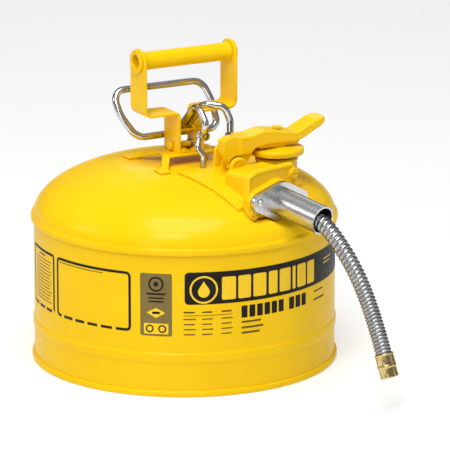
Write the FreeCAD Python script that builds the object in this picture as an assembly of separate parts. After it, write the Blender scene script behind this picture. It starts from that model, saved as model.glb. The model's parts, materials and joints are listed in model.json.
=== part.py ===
import FreeCAD, Part
import math
import os

from FreeCAD import Vector

# Safety gas can, 2.5 US gallon, with a hooded pour manifold and a flexible metal hose.
# Millimetres. Origin at the centre of the base, on the floor; +Z up, +X along the grip
# towards the lid's thumb tab, -Y towards the side that the hose leaves from.

# ---- driving dimensions: can body ----
BODY_R = 146.6            # outer radius of the drawn steel wall
SEAM_R = 149.2            # outer radius of the double seams, the widest part of the can
SHEET = 1.0               # steel sheet thickness
SEAM_H = 6.4              # height of a double seam
TOP_SEAM_Z = 138.1        # underside of the top seam
RIB_Z = 38.0              # middle of the rolled rib
RIB_HALF = 5.5
RIB_OUT = 1.2
DOME_BASE_Z = 143.5       # where the dome starts above the top seam
DOME_RISE = 56.0          # the dome is a half ellipse of this height ...
PAD_Z = 194.6             # ... cut off by a flat pad for the handle bracket
BOTTOM_Z = 5.0            # recessed floor of the can

# ---- handle ----
GRIP_Z = 297.7            # centre of the grip tube
GRIP_R = 8.75
GRIP_BORE_R = 7.0
FLARE_R = 11.65
STRAP_X = 50.5            # outer face of each handle strap
STRAP_T = 2.5
STRAP_W = 30.0
HANDLE_TOP_Z = 310.0
SHELF_Z = 246.5           # top face of the handle's shoulder
NECK_X = 14.0             # outer face of each neck plate
PLATFORM_Z = 205.5
PLATFORM_X = 26.0
PLATFORM_Y = 17.5
TAB_NOTCH = 6.5           # half width of the gap between a strap's two foot tabs
RIVET_Y = (-11.0, 11.0)
FOOT_X = 46.0
FOOT_Y = 40.0

# ---- trigger ----
WIRE_R = 3.4
PIVOT_Z = 211.0           # trigger pivot pin, along X, at y = 0
PIVOT_PIN_R = 3.0
YOKE_BORE_R = 3.06
CROWN_Z = 231.0           # wire centre where it crosses the yoke
YOKE_X = 11.0             # outer face of each yoke cheek

# ---- spout axis ----
SPOUT_X, SPOUT_Y, SPOUT_Z = 35.0, -121.7, 178.8    # centre of the flange seat
SPOUT_BEARING = math.radians(-73.4)                # direction of the spout in plan
SPOUT_DROP = math.radians(9.3)                     # how far it points down
TUBE_R = 13.75
TUBE_BORE_R = 12.2
TUBE_LENGTH = 60.0
HOSE_R = 8.0
HOSE_START = 8.0                                   # hose end inside the spout tube
NOZZLE_GRIP = 13.0                                 # hose inside the brass sleeve
NOZZLE_SLEEVE = 12.5                               # crimped part of the sleeve
NOZZLE_LENGTH = 23.0
# the hose's route after its straight start: distance out from the flange seat, and height
HOSE_ROUTE = ((60.0, 167.7), (82.0, 150.0), (101.5, 128.5), (116.0, 106.0), (127.5, 82.0),
              (136.3, 61.5), (143.2, 43.0))

# ---- spout flange, in the spout's own frame ----
FLANGE_EAR = 28.5          # from the spout axis to each flange bolt
FLANGE_EAR_R = 9.0
FLANGE_MID_R = 19.0
FLANGE_TWIST = -6.7        # degrees, the left ear sits higher than the right
FLANGE_T = 4.0
SPOUT_SEAT = 0.8           # gasket thickness, under the flange
BOLT_R = 2.5
POCKET_GAP = 2.0
POCKET_BACK = -7.0

# ---- front cover: s is across the spout, t is along it, from the flange seat ----
PLATE_S = (-37.5, 29.5)
PLATE_BOTTOM_Z, PLATE_TOP_Z = 163.0, 211.2
PLATE_T = (-8.5, -3.5)
LUG_T = -17.0
SCREW_R = 2.5
SCREW_SPOTS = ((-31.0, 168.4), (23.6, 199.6))       # lower left and upper right corners

# ---- lid ----
LID_X, LID_Y, LID_Z = 65.3, -66.0, 208.6           # underside of the lid disc
LID_R = 26.5
NECK_R = 20.0
NECK_BORE_R = 17.0
NECK_TOP_Z = 206.1
HINGE_X, HINGE_Z = 17.1, 203.2                     # lid hinge axis, along Y
HINGE_PIN_R = 2.5
LUG_R = 9.4
FRONT_LUG_Y = (-80.0, -76.2)
REAR_LUG_Y = (-62.3, -58.5)
LEVER_Y = (-75.5, -63.0)   # hub and block, between the lugs
ARM_Y = (-78.0, -55.5)     # arm and thumb tab, wider than the hub
TAB_X = 115.0              # end of the thumb tab
TAB_ROUND = 8.0
PIN_HOLE_X = 49.0          # blind hole in the top of the arm
PIN_HOLE_R = 2.0

# ---- manifold casting ----
BASE_RISE = 2.5            # base flange above the gasket
GASKET_T = 1.0
BASE_S = (-44.0, 24.0)     # base flange across the spout
BASE_BACK_S = 14.0         # narrower beside the handle bracket
BASE_T = (-90.0, -60.0, -9.0)     # base flange along the spout
CHAMBER_S = (-30.0, 22.0)
CHAMBER_T = (-42.0, -9.0)
CHAMBER_TOP_Z = 206.0
CHAMBER_ROUND = 5.0        # fillet of the chamber's outer edges
SPIGOT_R = 18.4
SPIGOT_HOLE_R = 18.8
POUR_SPIGOT_R = 9.0
VENT_SPIGOT_R = 7.0
PORT_S, PORT_T = -8.0, -24.0        # port from the can up into the valve chamber
PORT_R = 9.0
POUR_TOWER_Z = 197.5
VENT_TOWER_Z = 214.0

# ---- valve stems, under the two ends of the trigger wire ----
POUR_X, POUR_Y = -4.0, -46.0
VENT_X, VENT_Y = 25.5, -46.0
EYE_Y, EYE_Z = -47.6, 229.6                        # eye at the end of the trigger wire
EYE_R = 4.8
EYE_HOLE_R = 3.0
LINK_R = 3.0
LINK_PIN_R = 1.8
STEM_R = 2.75
STEM_BORE_R = 2.81
STEM_TOP_Z = 206.0

EX, EY, EZ = Vector(1, 0, 0), Vector(0, 1, 0), Vector(0, 0, 1)
PLAN_DIR = Vector(math.cos(SPOUT_BEARING), math.sin(SPOUT_BEARING), 0)
SIDE_DIR = Vector(-math.sin(SPOUT_BEARING), math.cos(SPOUT_BEARING), 0)
SPOUT_DIR = PLAN_DIR * math.cos(SPOUT_DROP) - EZ * math.sin(SPOUT_DROP)
SPOUT_UP = SPOUT_DIR.cross(SIDE_DIR)
SPOUT = Vector(SPOUT_X, SPOUT_Y, SPOUT_Z)


# ---------------------------------------------------------------- helpers

def fuse(shapes):
    """One solid from overlapping solids, with the seams between them removed."""
    whole = shapes[0]
    if len(shapes) > 1:
        whole = shapes[0].fuse(list(shapes[1:]))
    return whole.removeSplitter()


def rod(radius, start, axis, length):
    return Part.makeCylinder(radius, length, start, axis)


def ring(outer, inner, start, axis, length):
    return rod(outer, start, axis, length).cut(rod(inner, start, axis, length))


def box(x0, x1, y0, y1, z0, z1):
    return Part.makeBox(x1 - x0, y1 - y0, z1 - z0, Vector(x0, y0, z0))


def prism(points, direction):
    """A polygon pushed along a direction."""
    wire = Part.makePolygon(list(points) + [points[0]])
    return Part.Face(wire).extrude(direction)


def revolved(points):
    """A closed outline of (radius, z) points turned once about Z."""
    outline = [Vector(r, 0, z) for r, z in points]
    return Part.Face(Part.makePolygon(outline + [outline[0]])).revolve(Vector(0, 0, 0), EZ, 360)


def bent_path(points, radii):
    """Straight runs joined by tangent arcs; radii belong to the inner points."""
    edges = []
    start = points[0]
    for index, radius in enumerate(radii):
        corner, after = points[index + 1], points[index + 2]
        into = (corner - points[index]).normalize()
        out = (after - corner).normalize()
        turn = into.getAngle(out)
        back = radius * math.tan(turn / 2)
        first, last = corner - into * back, corner + out * back
        inward = (out - into).normalize()
        centre = corner + inward * (radius / math.cos(turn / 2))
        middle = centre - inward * radius
        edges.append(Part.LineSegment(start, first).toShape())
        edges.append(Part.Arc(first, middle, last).toShape())
        start = last
    edges.append(Part.LineSegment(start, points[-1]).toShape())
    return Part.Wire(edges)


def swept(path, radius, start, direction):
    """A round bar swept along a path."""
    section = Part.Wire([Part.makeCircle(radius, start, direction)])
    return path.makePipeShell([section], True, False)


def bent_rod(points, radii, radius):
    return swept(bent_path(points, radii), radius, points[0], points[1] - points[0])


def largest_radii(points):
    """0.45 of the shorter run over the tangent of half the turn, at each inner point."""
    radii = []
    for before, corner, after in zip(points, points[1:], points[2:]):
        into, out = corner - before, after - corner
        shorter = min(into.Length, out.Length)
        radii.append(0.45 * shorter / math.tan(into.getAngle(out) / 2))
    return radii


def in_frame(shape, origin, x_axis, y_axis, z_axis):
    """Moves a shape drawn about the origin into a frame given by its three axes."""
    matrix = FreeCAD.Matrix(
        x_axis.x, y_axis.x, z_axis.x, origin.x,
        x_axis.y, y_axis.y, z_axis.y, origin.y,
        x_axis.z, y_axis.z, z_axis.z, origin.z,
        0, 0, 0, 1)
    moved = shape.copy()
    moved.Placement = FreeCAD.Placement(matrix).multiply(shape.Placement)
    return moved


def on_spout(shape):
    """Local X across the spout, Y up its face, Z outwards along its axis."""
    return in_frame(shape, SPOUT, SIDE_DIR, SPOUT_UP, SPOUT_DIR)


def on_plan(shape):
    """Local X across the spout, Y straight up from the floor, Z outwards in plan."""
    return in_frame(shape, Vector(SPOUT_X, SPOUT_Y, 0), SIDE_DIR, EZ, PLAN_DIR)


def helix_spring(mean_radius, wire_radius, pitch, turns):
    """A coil about Z, starting at z = 0."""
    helix = Part.makeHelix(pitch, pitch * turns, mean_radius)
    slope = Vector(0, 2 * math.pi * mean_radius, pitch)
    section = Part.Wire([Part.makeCircle(wire_radius, Vector(mean_radius, 0, 0), slope)])
    return Part.Wire(helix.Edges).makePipeShell([section], True, True)


# ---------------------------------------------------------------- can body

def dome_solid(offset=0.0):
    """Everything under the dome's outer surface, grown by an offset."""
    across, rise = BODY_R + offset, DOME_RISE + offset
    pad_z = PAD_Z + offset
    pad_r = across * math.sqrt(1 - ((pad_z - DOME_BASE_Z) / rise) ** 2)
    base = Vector(0, 0, DOME_BASE_Z)
    ellipse = Part.Ellipse(base + EX * across, base + EZ * rise, base)
    curve = Part.ArcOfEllipse(ellipse, 0.0, math.acos(pad_r / across)).toShape()
    rim, crest = curve.valueAt(curve.FirstParameter), curve.valueAt(curve.LastParameter)
    lines = Part.makePolygon([crest, Vector(0, 0, pad_z), Vector(0, 0, DOME_BASE_Z - 30),
                              Vector(across, 0, DOME_BASE_Z - 30), rim])
    face = Part.Face(Part.Wire([curve] + lines.Edges))
    return face.revolve(Vector(0, 0, 0), EZ, 360)


def plate_outline(grow):
    """Corners of the front cover in the spout's plan frame, grown by a margin."""
    left, right = PLATE_S[0] - grow, PLATE_S[1] + grow
    bottom, top = PLATE_BOTTOM_Z - grow, PLATE_TOP_Z + grow
    return [(left, bottom + 4), (left, top - 5.5), (left + 12, top), (right - 6, top - 1),
            (right, top - 7), (right, bottom + 22), (right - 22, bottom), (left + 4, bottom)]


def flange_outline(grow, depth):
    """The diamond outline of the spout flange: a round middle with two ears."""
    middle_r, ear_r = FLANGE_MID_R + grow, FLANGE_EAR_R + grow
    lean = math.acos((middle_r - ear_r) / FLANGE_EAR)
    pieces = [Part.makeCylinder(middle_r, depth)]
    for side in (-1, 1):
        pieces.append(Part.makeCylinder(ear_r, depth, Vector(side * FLANGE_EAR, 0, 0)))
        corners = []
        for along, reach, offset in ((lean, middle_r, 0), (lean, ear_r, FLANGE_EAR),
                                     (-lean, ear_r, FLANGE_EAR), (-lean, middle_r, 0)):
            corners.append(Vector(side * (offset + reach * math.cos(along)), reach * math.sin(along), 0))
        pieces.append(prism(corners, EZ * depth))
    outline = fuse(pieces)
    outline.rotate(Vector(0, 0, 0), EZ, FLANGE_TWIST)
    return outline


def ear_centre(side, z):
    """Centre of a flange bolt, in the spout's frame."""
    turn = math.radians(FLANGE_TWIST)
    return Vector(side * FLANGE_EAR * math.cos(turn), side * FLANGE_EAR * math.sin(turn), z)


def spout_pocket(extra):
    """The hollow pressed into the dome so that the spout flange and tube clear it."""
    pocket = flange_outline(POCKET_GAP + extra, 90)
    pocket.translate(Vector(0, 0, POCKET_BACK - extra))
    grow = 1.0 + extra
    plate = prism([Vector(s, z, PLATE_T[0] - 0.5 - extra) for s, z in plate_outline(grow)], EZ * 60)
    lug = rod(6.2 + extra, Vector(SCREW_SPOTS[0][0], SCREW_SPOTS[0][1], LUG_T - 1.5 - extra), EZ, 60)
    return fuse([on_spout(pocket), on_plan(plate), on_plan(lug)])


def port_centre(z):
    return Vector(SPOUT_X, SPOUT_Y, z) + SIDE_DIR * PORT_S + PLAN_DIR * PORT_T


def make_body_shell():
    rib = [(BODY_R, RIB_Z - RIB_HALF), (BODY_R + RIB_OUT, RIB_Z - RIB_HALF * 0.45),
           (BODY_R + RIB_OUT, RIB_Z + RIB_HALF * 0.45), (BODY_R, RIB_Z + RIB_HALF)]
    outside = [(BODY_R, 1.2)] + rib + [(BODY_R, TOP_SEAM_Z + SEAM_H - 1.2)]
    inside = [(r - SHEET, z) for r, z in reversed(outside)]
    return revolved(outside + inside)


def seam_ring(z0):
    """The rolled lip of a double seam, round on its outside."""
    lip_in = BODY_R + 0.05
    bulge = SEAM_R - lip_in
    return revolved([(lip_in, z0), (lip_in + bulge * 0.6, z0), (SEAM_R, z0 + 1.1),
                     (SEAM_R, z0 + SEAM_H - 1.1), (lip_in + bulge * 0.6, z0 + SEAM_H),
                     (lip_in, z0 + SEAM_H)])


def make_bottom_panel():
    hook = BODY_R - SHEET - 0.05
    web = revolved([(0, BOTTOM_Z), (hook - SHEET, BOTTOM_Z), (hook - SHEET, 0), (SEAM_R - 1.1, 0),
                    (SEAM_R - 1.1, 1.1), (hook, 1.1), (hook, BOTTOM_Z + SHEET), (0, BOTTOM_Z + SHEET)])
    return fuse([web, seam_ring(0)])


def make_dome_top():
    outer = dome_solid().cut(spout_pocket(0))
    inner = dome_solid(-SHEET).cut(spout_pocket(SHEET))
    skirt_z = TOP_SEAM_Z + SEAM_H
    shell = outer.cut(inner).common(Part.makeCylinder(SEAM_R + 5, 80, Vector(0, 0, skirt_z - 1.1)))
    hook = BODY_R - SHEET - 0.05
    inner_skirt = ring(hook, hook - SHEET, Vector(0, 0, TOP_SEAM_Z), EZ, SEAM_H)
    cap = ring(SEAM_R - 1.1, hook - SHEET, Vector(0, 0, skirt_z - 1.1), EZ, 1.1)
    dome = fuse([shell, inner_skirt, cap, seam_ring(TOP_SEAM_Z)])
    holes = [rod(SPIGOT_HOLE_R, Vector(LID_X, LID_Y, 150), EZ, 60),
             rod(POUR_SPIGOT_R + 0.4, Vector(POUR_X, POUR_Y, 150), EZ, 60),
             rod(VENT_SPIGOT_R + 0.4, Vector(VENT_X, VENT_Y, 150), EZ, 60),
             rod(PORT_R + 0.4, port_centre(150), EZ, 60)]
    for hole in holes:
        dome = dome.cut(hole)
    return dome


# ---------------------------------------------------------------- handle

def round_bends(shape, bends):
    """Fillets the edges along Y at the given (x, z) corners, each with its own radius."""
    for x, z, radius in bends:
        edges = [edge for edge in shape.Edges
                 if all(abs(v.X - x) < 0.01 and abs(v.Z - z) < 0.01 for v in edge.Vertexes)]
        shape = shape.makeFillet(radius, edges)
    return shape


def make_strap(side):
    """Upright, shoulder, neck plate and foot tab, bent from one strip."""
    t = STRAP_T
    outline = [(STRAP_X, HANDLE_TOP_Z), (STRAP_X, SHELF_Z - t), (NECK_X, SHELF_Z - t),
               (NECK_X, PLATFORM_Z), (NECK_X - 11, PLATFORM_Z), (NECK_X - 11, PLATFORM_Z + t),
               (NECK_X - t, PLATFORM_Z + t), (NECK_X - t, SHELF_Z), (STRAP_X - t, SHELF_Z),
               (STRAP_X - t, HANDLE_TOP_Z)]
    corners = [Vector(side * x, -STRAP_W / 2, z) for x, z in outline]
    strap = prism(corners, EY * STRAP_W)
    strap = round_bends(strap, [(side * x, z, radius) for x, z, radius in (
        (STRAP_X, SHELF_Z - t, 8.0), (STRAP_X - t, SHELF_Z, 5.5), (NECK_X, SHELF_Z - t, 2.0),
        (NECK_X - t, SHELF_Z, 4.5), (NECK_X - t, PLATFORM_Z + t, 0.4))])
    # the top is a half circle about the grip
    top_r = STRAP_W / 2
    arch_z = HANDLE_TOP_Z - top_r
    blank = box(-60, 60, -top_r, top_r, arch_z, HANDLE_TOP_Z + 1)
    strap = strap.cut(blank.cut(rod(top_r, Vector(-60, 0, arch_z), EX, 120)))
    strap = strap.cut(rod(GRIP_R + 0.02, Vector(side * 40 - 15, 0, GRIP_Z), EX, 30))
    strap = strap.cut(rod(PIVOT_PIN_R + 0.02, Vector(side * 14 - 6, 0, PIVOT_Z), EX, 12))
    notch = [Vector(side * x, -TAB_NOTCH, PLATFORM_Z - 1) for x in (0, NECK_X - STRAP_T)]
    notch += [p + EY * 2 * TAB_NOTCH for p in reversed(notch)]
    strap = strap.cut(prism(notch, EZ * (1 + STRAP_T + 0.01)))
    for y in RIVET_Y:
        strap = strap.cut(rod(2.02, Vector(side * 7.5, y, PLATFORM_Z - 1), EZ, 6))
    return strap


def make_grip_tube():
    half = STRAP_X
    tube = rod(GRIP_R, Vector(-half - 2.5, 0, GRIP_Z), EX, 2 * half + 5)
    parts = [tube]
    for side in (-1, 1):
        parts.append(rod(FLARE_R, Vector(side * (half + 1.3) - 1.2, 0, GRIP_Z), EX, 2.4))
        parts.append(rod(GRIP_R + 1.1, Vector(side * (half - STRAP_T - 1.6) - 1.5, 0, GRIP_Z), EX, 3.0))
    return fuse(parts).cut(rod(GRIP_BORE_R, Vector(-70, 0, GRIP_Z), EX, 140))


def make_handle_bracket():
    """A platform on four legs that reach down to the dome."""
    t = STRAP_T
    top = box(-PLATFORM_X, PLATFORM_X, -PLATFORM_Y, PLATFORM_Y, PLATFORM_Z - t, PLATFORM_Z)
    parts = [top]
    foot_top = PAD_Z + t
    for side in (-1, 1):
        for end in (-1, 1):
            inner_y, outer_y = end * 5.0, end * PLATFORM_Y
            foot_in, foot_out = end * (FOOT_Y - 14), end * FOOT_Y
            high = [Vector(side * (PLATFORM_X - 1), inner_y, PLATFORM_Z - t),
                    Vector(side * (PLATFORM_X - 1), outer_y, PLATFORM_Z - t)]
            low = [Vector(side * (FOOT_X - 7), foot_in, PAD_Z), Vector(side * (FOOT_X - 7), foot_out, PAD_Z)]
            parts.append(leg_between(high, low, t))
            parts.append(box(*sorted((side * (FOOT_X - 10), side * FOOT_X)),
                             *sorted((foot_in, foot_out)), PAD_Z, foot_top))
    bracket = fuse(parts)
    for side in (-1, 1):
        for y in RIVET_Y:
            bracket = bracket.cut(rod(2.02, Vector(side * 7.5, y, PLATFORM_Z - 6), EZ, 8))
    return bracket


def leg_between(high, low, thickness):
    """A sloping plate between two edges, as a ruled solid."""
    up = EZ * thickness
    bottom = [high[0], high[1], low[1], low[0]]
    top = [p + up for p in bottom]
    quads = [bottom, top]
    quads += [[bottom[i], bottom[(i + 1) % 4], top[(i + 1) % 4], top[i]] for i in range(4)]
    faces = []
    for quad in quads:
        faces.append(Part.Face(Part.makePolygon([quad[0], quad[1], quad[2], quad[0]])))
        faces.append(Part.Face(Part.makePolygon([quad[0], quad[2], quad[3], quad[0]])))
    solid = Part.Solid(Part.Shell(faces))
    return solid if solid.Volume > 0 else solid.reversed()


def make_bracket_rivets():
    rivets = []
    for side in (-1, 1):
        for y in RIVET_Y:
            x = side * 7.5
            shank = rod(2.0, Vector(x, y, PLATFORM_Z - STRAP_T), EZ, 2 * STRAP_T)
            head = rod(3.6, Vector(x, y, PLATFORM_Z + STRAP_T), EZ, 1.4)
            tail = rod(3.2, Vector(x, y, PLATFORM_Z - STRAP_T - 1.2), EZ, 1.2)
            rivets.append(fuse([shank, head, tail]))
    return Part.Compound(rivets)


# ---------------------------------------------------------------- trigger

def make_trigger_pivot_pin():
    pin = rod(PIVOT_PIN_R, Vector(-NECK_X - 1, 0, PIVOT_Z), EX, 2 * NECK_X + 2)
    heads = [rod(4.6, Vector(-NECK_X - 2.6, 0, PIVOT_Z), EX, 1.6),
             rod(4.6, Vector(NECK_X + 1.0, 0, PIVOT_Z), EX, 1.6)]
    return fuse([pin] + heads)


def make_trigger_yoke():
    """Two cheeks on the pivot pin, joined by the bar that the wires cross."""
    saddle_top = CROWN_Z - WIRE_R
    parts = [box(-YOKE_X, YOKE_X, -6, 4, saddle_top - 2.5, saddle_top)]
    for side in (-1, 1):
        x0, x1 = sorted((side * (YOKE_X - 2.2), side * YOKE_X))
        parts.append(box(x0, x1, -4.7, 4.7, PIVOT_Z, saddle_top))
        parts.append(rod(4.7, Vector(x0, 0, PIVOT_Z), EX, x1 - x0))
    yoke = fuse(parts)
    return yoke.cut(rod(YOKE_BORE_R, Vector(-20, 0, PIVOT_Z), EX, 40)).cut(make_trigger_wire())


def make_trigger_wire():
    """One bent wire: a loop behind the grip, two parallel runs over the yoke, two front arms."""
    crown = CROWN_Z - 1.5
    near = [Vector(POUR_X, EYE_Y, EYE_Z), Vector(-4, EYE_Y, 233), Vector(-4, -52.5, 241),
            Vector(-4, -34, 258.5), Vector(-4, -1, crown), Vector(-4.5, 20.5, 217.6),
            Vector(-41, 20.2, 217.2), Vector(-52.5, 33, 238.4), Vector(-54.5, 46, 260), Vector(0, 46, 260)]
    far = [Vector(VENT_X, VENT_Y, 229.2), Vector(27, -43.5, 240), Vector(21.5, -41.5, 254),
           Vector(4, -31, 257), Vector(4, -1, crown), Vector(4.5, 20.5, 217.6),
           Vector(48.5, 20.2, 217.2), Vector(49, 34.4, 240.8), Vector(43.5, 46, 260), Vector(0, 46, 260)]
    near_radii = [8, 7, 13, 14, 6, 15, 40, 12.5]
    far_radii = [12, 9, 9, 14, 6, 10, 40, 13]
    eye = rod(EYE_R, Vector(POUR_X, EYE_Y - 3.0, EYE_Z), EY, 6.0)
    wire = fuse([bent_rod(near, near_radii, WIRE_R), bent_rod(far, far_radii, WIRE_R), eye])
    return wire.cut(rod(EYE_HOLE_R, Vector(POUR_X, EYE_Y - 10, EYE_Z), EY, 20))


def make_trigger_spring():
    """A torsion spring round the pivot pin, between the yoke's cheeks."""
    coil = helix_spring(3.9, 0.45, 1.2, 3)
    return in_frame(coil, Vector(4.6, 0, PIVOT_Z), EY, EZ, EX)


# ---------------------------------------------------------------- manifold

def base_footprint():
    """Plan outline of the base flange, widened under the fill neck."""
    back = on_plan(box(BASE_S[0], BASE_BACK_S, 150, 230, BASE_T[0], BASE_T[1] + 1))
    front = on_plan(box(BASE_S[0], BASE_S[1], 150, 230, BASE_T[1], BASE_T[2]))
    return fuse([back, front, rod(NECK_R + 5, Vector(LID_X, LID_Y, 150), EZ, 80)])


def make_manifold_gasket():
    sheet = dome_solid(GASKET_T).cut(dome_solid(0.0)).common(base_footprint())
    sheet = sheet.cut(spout_pocket(-0.3))
    for radius, centre in stem_holes(0.4):
        sheet = sheet.cut(rod(radius, centre, EZ, 80))
    return sheet


def stem_holes(gap):
    """Where the casting's spigots pass through the dome."""
    return ((SPIGOT_R + gap, Vector(LID_X, LID_Y, 150)), (POUR_SPIGOT_R + gap, Vector(POUR_X, POUR_Y, 150)),
            (VENT_SPIGOT_R + gap, Vector(VENT_X, VENT_Y, 150)), (PORT_R + gap, port_centre(150)))


def make_manifold_casting():
    base = base_footprint().common(dome_solid(GASKET_T + BASE_RISE))
    chamber = box(CHAMBER_S[0], CHAMBER_S[1], 150, CHAMBER_TOP_Z, CHAMBER_T[0], CHAMBER_T[1])
    # every edge is rounded except those of the mouth and of the buried foot
    edges = [edge for edge in chamber.Edges
             if any(v.Z < CHAMBER_T[1] - 1 for v in edge.Vertexes) and any(v.Y > 151 for v in edge.Vertexes)]
    chamber = on_plan(chamber.makeFillet(CHAMBER_ROUND, edges))
    neck = rod(NECK_R, Vector(LID_X, LID_Y, 170), EZ, NECK_TOP_Z - 170)
    parts = [base, chamber, neck]
    # hinge lugs
    for y0, y1 in (FRONT_LUG_Y, REAR_LUG_Y):
        parts.append(rod(LUG_R, Vector(HINGE_X, y0, HINGE_Z), EY, y1 - y0))
        parts.append(box(HINGE_X - LUG_R, HINGE_X + LUG_R, y0, y1, 185, HINGE_Z))
    # stem towers, joined by a rib
    parts.append(rod(8.0, Vector(POUR_X, POUR_Y, 185), EZ, POUR_TOWER_Z - 185))
    parts.append(rod(8.0, Vector(VENT_X, VENT_Y, 185), EZ, VENT_TOWER_Z - 185))
    gusset = [(2, 190), (26, 190), (26, 211), (14, 219), (8, 221), (4, 217)]
    parts.append(prism([Vector(x, -54.9, z) for x, z in gusset], EY * 3.5))
    s, z = SCREW_SPOTS[0]
    screw_lug = on_plan(rod(5.0, Vector(s, z, LUG_T), EZ, PLATE_T[0] - LUG_T))
    casting = fuse(parts).cut(dome_solid(GASKET_T)).cut(spout_pocket(-0.6))
    spigots = [rod(SPIGOT_R, Vector(LID_X, LID_Y, 176), EZ, 24),
               rod(POUR_SPIGOT_R, Vector(POUR_X, POUR_Y, 184), EZ, 14),
               rod(VENT_SPIGOT_R, Vector(VENT_X, VENT_Y, 184), EZ, 14),
               rod(PORT_R, port_centre(168), EZ, 26)]
    casting = fuse([casting, screw_lug] + spigots)
    hub_y = FRONT_LUG_Y[1]
    trough = rod(8.9, Vector(HINGE_X, hub_y, HINGE_Z), EY, -68.4 - hub_y)
    trough = trough.fuse(rod(7.0, Vector(HINGE_X, -69, HINGE_Z), EY, REAR_LUG_Y[0] + 69))
    casting = casting.cut(trough)
    room = on_plan(box(CHAMBER_S[0] + 4, CHAMBER_S[1] - 4, 188, CHAMBER_TOP_Z - 4,
                       CHAMBER_T[0] + 4, CHAMBER_T[1] + 5))
    outlet = on_spout(Part.makeCylinder(10.5, 40, Vector(0, 0, -34)))
    cuts = [room, outlet, rod(PORT_R - 2.5, port_centre(150), EZ, 42),
            rod(NECK_BORE_R, Vector(LID_X, LID_Y, 197.6), EZ, 20),
            rod(NECK_BORE_R - 1.0, Vector(LID_X, LID_Y, 150), EZ, 60),
            rod(STEM_BORE_R, Vector(POUR_X, POUR_Y, 170), EZ, 60),
            rod(STEM_BORE_R, Vector(VENT_X, VENT_Y, 170), EZ, 60),
            rod(HINGE_PIN_R + 0.02, Vector(HINGE_X, -90, HINGE_Z), EY, 50)]
    for cut in cuts:
        casting = casting.cut(cut)
    for s, z in SCREW_SPOTS:
        casting = casting.cut(on_plan(rod(SCREW_R + 0.02, Vector(s, z, -24), EZ, 40)))
    return max(casting.removeSplitter().Solids, key=lambda solid: solid.Volume)


def make_front_cover():
    """The plate that closes the valve chamber, with the round seat for the spout flange."""
    plate = prism([Vector(s, z, PLATE_T[0]) for s, z in plate_outline(0)], EZ * (PLATE_T[1] - PLATE_T[0]))
    parts = [on_plan(plate), on_spout(flange_outline(0.6, 6.0).translated(Vector(0, 0, -6.0)))]
    for s, z in SCREW_SPOTS:
        parts.append(on_plan(rod(5.0, Vector(s, z, PLATE_T[0]), EZ, 6.6)))
    cover = fuse(parts)
    cover = cover.cut(on_spout(Part.makeCylinder(10.5, 40, Vector(0, 0, -20))))
    behind = on_plan(box(-60, 60, 100, 260, -40, PLATE_T[0]))
    cover = cover.cut(behind)
    for s, z in SCREW_SPOTS:
        cover = cover.cut(on_plan(rod(SCREW_R + 0.02, Vector(s, z, -20), EZ, 40)))
    for side in (-1, 1):
        cover = cover.cut(on_spout(rod(BOLT_R + 0.02, ear_centre(side, -20), EZ, 40)))
    return cover


def make_cover_screws():
    screws = []
    for s, z in SCREW_SPOTS:
        shank = rod(SCREW_R, Vector(s, z, LUG_T + 2), EZ, PLATE_T[0] + 6.6 - LUG_T - 2)
        head = rod(4.0, Vector(s, z, PLATE_T[0] + 6.6), EZ, 2.2)
        slot = box(s - 4.5, s + 4.5, z - 0.5, z + 0.5, PLATE_T[0] + 7.8, PLATE_T[0] + 9.5)
        screws.append(on_plan(fuse([shank, head]).cut(slot)))
    return Part.Compound(screws)


# ---------------------------------------------------------------- valves

def make_pour_valve_stem():
    stem = rod(STEM_R, Vector(POUR_X, POUR_Y, 158), EZ, STEM_TOP_Z - 158)
    spring_seat = rod(10.3, Vector(POUR_X, POUR_Y, 175.0), EZ, 1.4)
    return fuse([stem, spring_seat])


def make_valve_link():
    """The hook that hangs from the trigger wire's eye and pushes the stem."""
    back_y = EYE_Y + 9.1
    route = [Vector(POUR_X, POUR_Y, STEM_TOP_Z), Vector(POUR_X, POUR_Y, 210),
             Vector(-8.2, -42, 217), Vector(POUR_X, back_y, 225.5), Vector(POUR_X, back_y, EYE_Z)]
    hook = bent_rod(route, [5, 6, 5], LINK_R)
    knuckle = Part.makeSphere(LINK_R, route[-1])
    pin = rod(LINK_PIN_R, Vector(POUR_X, EYE_Y - 3.3, EYE_Z), EY, 3.3 + 9.1)
    return fuse([hook, knuckle, pin])


def make_pour_valve_disc():
    disc = rod(11.0, Vector(POUR_X, POUR_Y, 155), EZ, 3)
    return disc


def make_pour_valve_seal():
    return ring(10.0, STEM_R + 0.05, Vector(POUR_X, POUR_Y, 158), EZ, 1.7)


def make_pour_valve_body():
    """The cage under the dome that carries the valve seat and feeds the chamber port."""
    cup = rod(13.5, Vector(POUR_X, POUR_Y, 160), EZ, 20)
    cup = cup.cut(rod(11.0, Vector(POUR_X, POUR_Y, 163), EZ, 14))
    cup = cup.cut(rod(8.0, Vector(POUR_X, POUR_Y, 150), EZ, 20))
    duct_start = Vector(POUR_X, POUR_Y, 169)
    duct_end = port_centre(160)
    corner = Vector(duct_end.x, duct_end.y, 160)
    run = corner - duct_start
    outer = fuse([cup, rod(6.2, duct_start, run, run.Length), Part.makeSphere(6.2, corner),
                  rod(6.2, corner, EZ, 8)])
    hollow = fuse([rod(5.0, duct_start, run, run.Length), Part.makeSphere(5.0, corner),
                   rod(5.0, corner, EZ, 9), rod(11.0, Vector(POUR_X, POUR_Y, 163), EZ, 14),
                   rod(8.0, Vector(POUR_X, POUR_Y, 150), EZ, 20)])
    return outer.cut(hollow).cut(rod(STEM_R + 0.06, Vector(POUR_X, POUR_Y, 176), EZ, 20))


def make_pour_valve_spring():
    coil = helix_spring(9.5, 0.5, 3.35, 3)
    coil.translate(Vector(POUR_X, POUR_Y, 163.9))
    return coil


def make_vent_plunger():
    stem = rod(STEM_R, Vector(VENT_X, VENT_Y, 172), EZ, 226 - 172)
    button = rod(5.0, Vector(VENT_X, VENT_Y, 226), EZ, 2.2)
    return fuse([stem, button])


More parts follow.
